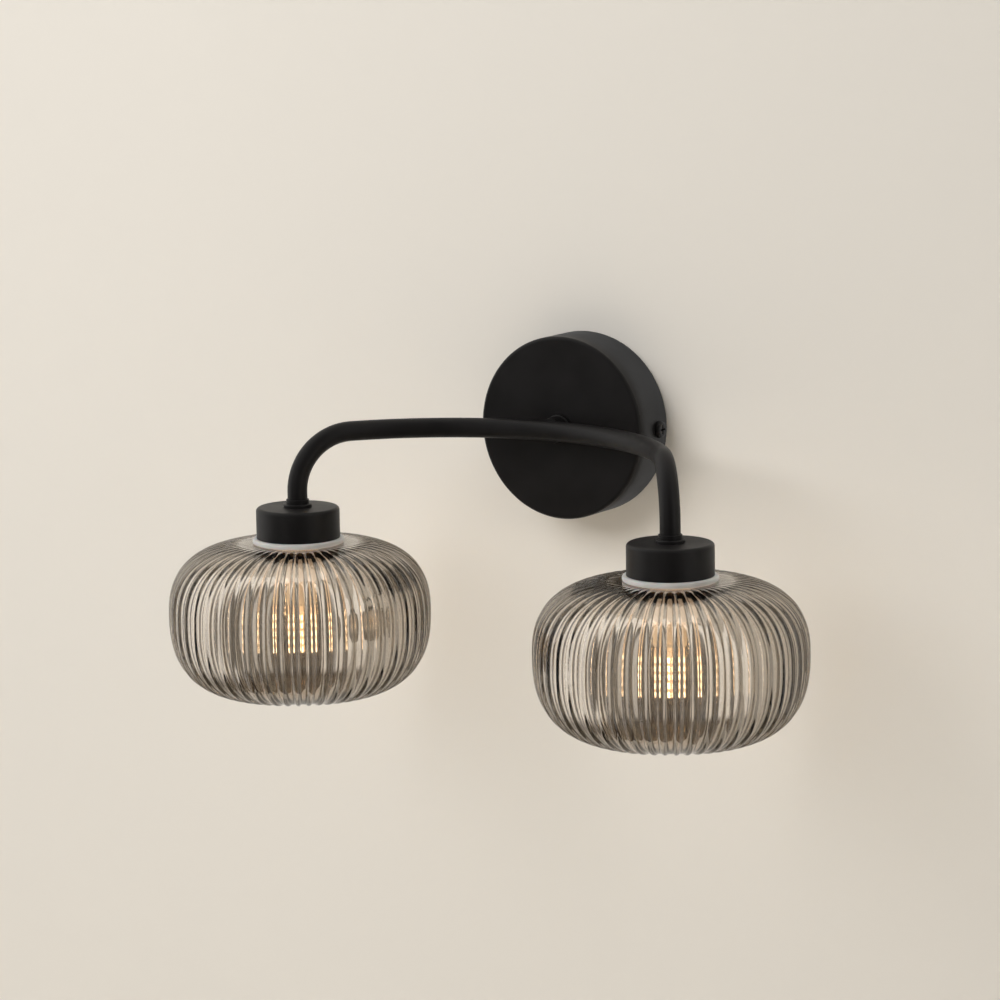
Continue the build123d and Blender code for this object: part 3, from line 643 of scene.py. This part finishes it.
def addLamps():
    for lamp in lampSet:
        data = bpy.data.lights.new(lamp["name"], "AREA")
        data.size = lamp["size"]
        data.energy = lamp["power"]
        data.color = lamp["colour"]
        panel = bpy.data.objects.new(lamp["name"], data)
        bpy.context.scene.collection.objects.link(panel)
        panel.location = lamp["place"]
        aim = lampAim - Vector(lamp["place"])
        panel.rotation_euler = aim.to_track_quat("-Z", "Y").to_euler()
        panel.visible_glossy = False
        panel.visible_transmission = False


# world: plain light, a plain pale colour to the eye, and a made-up room in gloss

worldLook = {"light": (1.0, 0.98, 0.945), "lightStrength": 0.28, "seen": (0.80, 0.76, 0.695),
             "bands": [(0.00, 0.55), (0.12, 0.40), (0.19, 1.40), (0.35, 1.35), (0.40, 0.08), (0.45, 0.10),
                       (0.47, 0.80), (0.50, 0.75), (0.52, 0.06), (0.66, 0.05), (0.71, 1.35), (0.77, 1.25),
                       (0.82, 0.12), (0.86, 0.30), (0.92, 1.20), (1.00, 0.55)],
             "heights": [(0.09, (0.050, 0.036, 0.026)), (0.17, (0.92, 0.89, 0.85)),
                         (0.80, (1.10, 1.09, 1.07))]}


def addStops(tree, source, stops):
    ramp = tree.nodes.new("ShaderNodeValToRGB")
    ramp.color_ramp.interpolation = "EASE"
    while len(ramp.color_ramp.elements) < len(stops):
        ramp.color_ramp.elements.new(0.5)
    for element, (position, colour) in zip(ramp.color_ramp.elements, stops):
        element.position = position
        element.color = (*colour, 1)
    tree.links.new(source, ramp.inputs["Fac"])
    return ramp.outputs["Color"]


def addShare(tree, source, least, most):  # the value's place between least and most, from 0 to 1
    share = tree.nodes.new("ShaderNodeMapRange")
    share.inputs["From Min"].default_value = least
    share.inputs["From Max"].default_value = most
    tree.links.new(source, share.inputs["Value"])
    return share.outputs["Result"]


def addRoom(tree):  # tall bright and dim bands round the room, over a dark floor
    look = worldLook
    place = tree.nodes.new("ShaderNodeTexCoord")
    split = tree.nodes.new("ShaderNodeSeparateXYZ")
    tree.links.new(place.outputs["Generated"], split.inputs["Vector"])
    front = addMath(tree, "MULTIPLY", split.outputs["Y"], -1.0)
    turn = addMath(tree, "ARCTAN2", split.outputs["X"], front)
    greys = [(position, (level, level, level)) for position, level in look["bands"]]
    bands = addStops(tree, addShare(tree, turn, -math.pi, math.pi), greys)
    rise = addStops(tree, addShare(tree, split.outputs["Z"], -1.0, 1.0), look["heights"])
    room = tree.nodes.new("ShaderNodeBackground")
    tree.links.new(rise, room.inputs["Color"])
    tree.links.new(bands, room.inputs["Strength"])
    return room.outputs["Background"]


def addWorld():
    look = worldLook
    world = bpy.data.worlds.new("studio")
    bpy.context.scene.world = world
    world.use_nodes = True
    tree = world.node_tree
    light = tree.nodes["Background"]
    light.inputs["Color"].default_value = (*look["light"], 1)
    light.inputs["Strength"].default_value = look["lightStrength"]
    seen = tree.nodes.new("ShaderNodeBackground")
    seen.inputs["Color"].default_value = (*look["seen"], 1)
    paths = tree.nodes.new("ShaderNodeLightPath")
    straight = straightRays(tree, paths)
    plain = mixShaders(tree, straight, light.outputs["Background"], seen.outputs["Background"])
    shown = mixShaders(tree, paths.outputs["Glossy Depth"], plain, addRoom(tree))
    tree.links.new(shown, tree.nodes["World Output"].inputs["Surface"])


# camera at the photo's viewing angle

cameraView = {"azimuth": 32.036, "elevation": 9.741, "roll": -0.825, "distance": 2.048, "lens": 131.75,
              "sensor": 36.0, "aim": (-57.541 * mm, 0, -48.499 * mm)}


def addCamera():
    view = cameraView
    turn, rise = math.radians(view["azimuth"]), math.radians(view["elevation"])
    back = Vector((math.sin(turn) * math.cos(rise), -math.cos(turn) * math.cos(rise), math.sin(rise)))
    data = bpy.data.cameras.new("photoCamera")
    data.sensor_width = view["sensor"]
    data.lens = view["lens"]
    camera = bpy.data.objects.new("photoCamera", data)
    bpy.context.scene.collection.objects.link(camera)
    camera.location = Vector(view["aim"]) + back * view["distance"]
    camera.rotation_mode = "QUATERNION"
    roll = Quaternion((0, 0, 1), math.radians(view["roll"]))
    camera.rotation_quaternion = (-back).to_track_quat("-Z", "Y") @ roll
    bpy.context.scene.camera = camera


addStage()
addLamps()
addWorld()
addCamera()
bpy.context.scene.view_settings.view_transform = "Standard"
print("stage and camera set")
